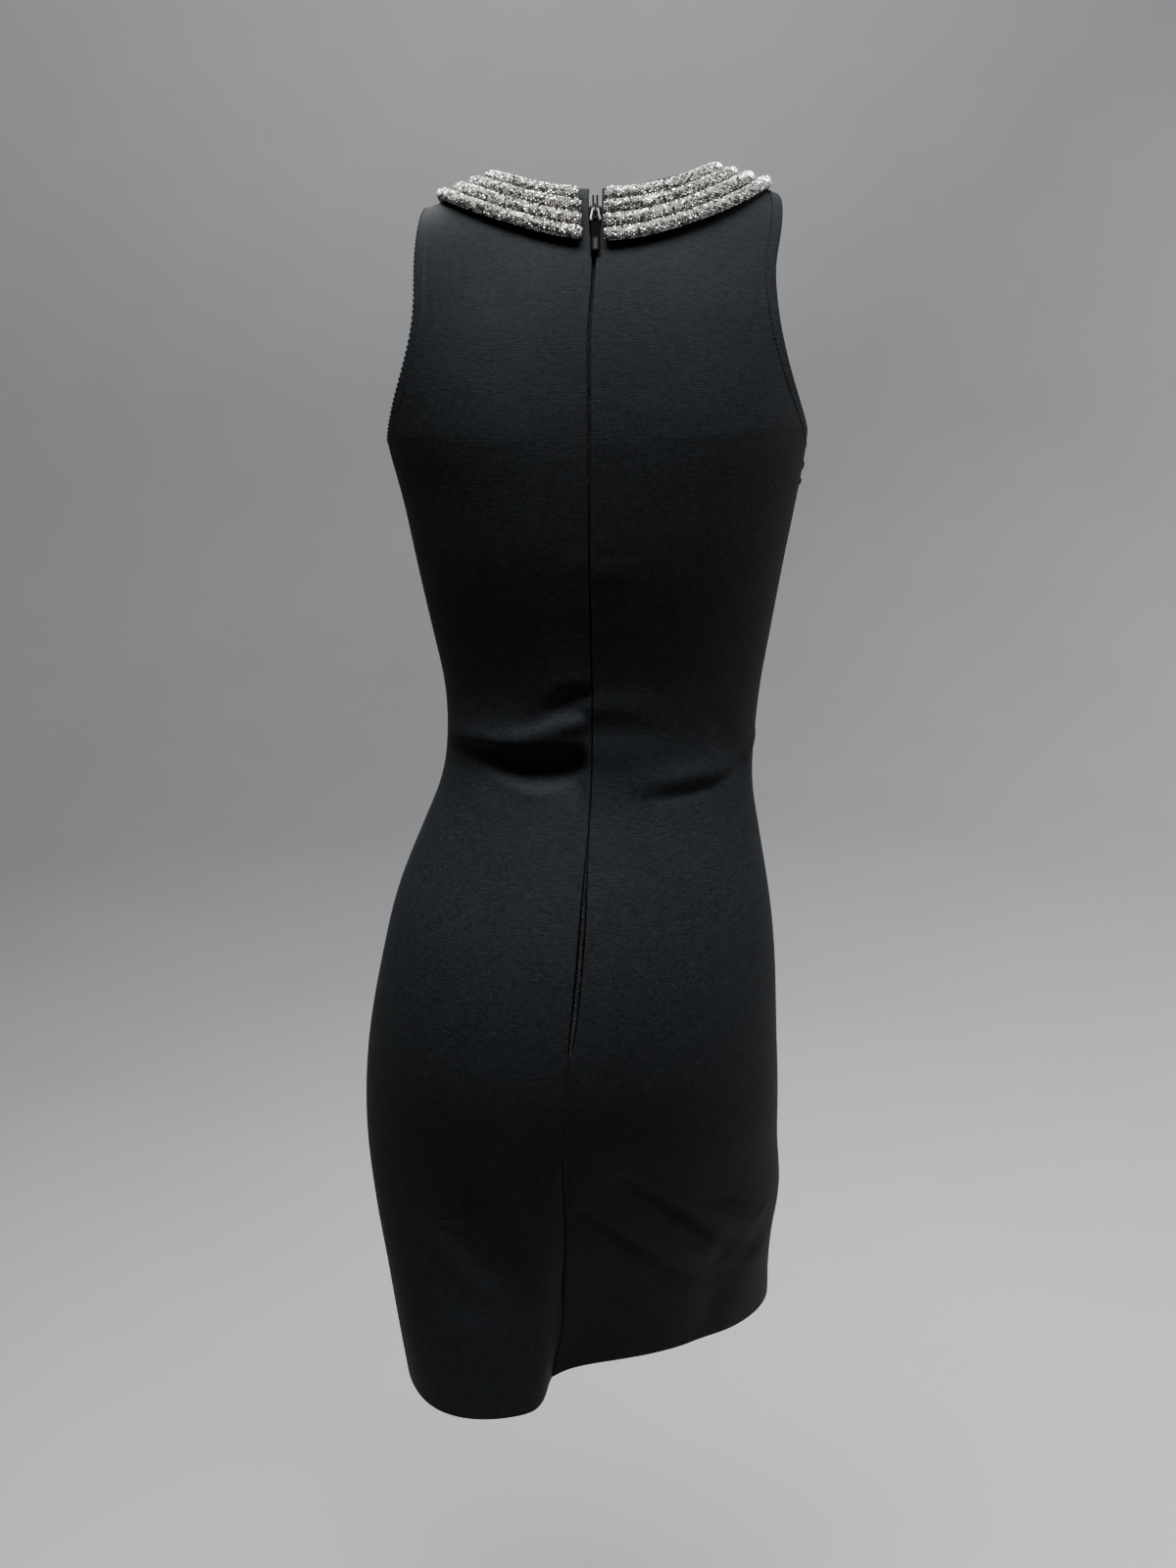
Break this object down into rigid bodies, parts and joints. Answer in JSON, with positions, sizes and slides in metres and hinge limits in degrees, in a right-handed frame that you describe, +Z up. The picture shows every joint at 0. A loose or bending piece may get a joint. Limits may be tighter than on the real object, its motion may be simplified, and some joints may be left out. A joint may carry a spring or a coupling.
{
  "type": "bodycon dress",
  "caption": "Knee-length sleeveless bodycon dress in black fine-ribbed knit, worn, with a round collar of rhinestone cords and a centre-back zip.",
  "frame": {"origin": "between the shoulder straps in the middle of the neck opening, where the dress is held", "axes": "+Z up along the wearer, +Y out of the wearer's back where the zip is, +X towards the wearer's left"},
  "size_m": [0.3294, 0.252, 0.8926],
  "materials": {
    "black_knit": "matte fine horizontal rib",
    "rhinestone_cord": "covered with small grey and silver rhinestones",
    "zip_tape": "matte woven tape",
    "black_coil": "satin",
    "black_lacquer": "satin lacquer",
    "grey_steel": "satin",
    "black_rubber": "satin"
  },
  "bodies": {
    "dress": {"front": "black_knit", "back_left": "black_knit", "back_right": "black_knit", "collar_cord_1": "rhinestone_cord", "collar_cord_2": "rhinestone_cord", "collar_cord_3": "rhinestone_cord", "collar_cord_4": "rhinestone_cord", "zip_tape_left": "zip_tape", "zip_tape_right": "zip_tape", "zip_coil": "black_coil", "coil_end_left": "black_lacquer", "coil_end_right": "black_lacquer", "zip_slider": "black_lacquer", "zip_stop": "grey_steel"},
    "zip_pull": {"pull_ring": "grey_steel", "pull_tab": "black_rubber"}
  },
  "joints": [
    {"name": "pull_hinge", "type": "hinge", "parent": "dress", "child": "zip_pull", "pos_m": [0.0001, 0.06393, -0.01308], "axis": [1, 0, 0], "range_deg": [0, 150]}
  ]
}
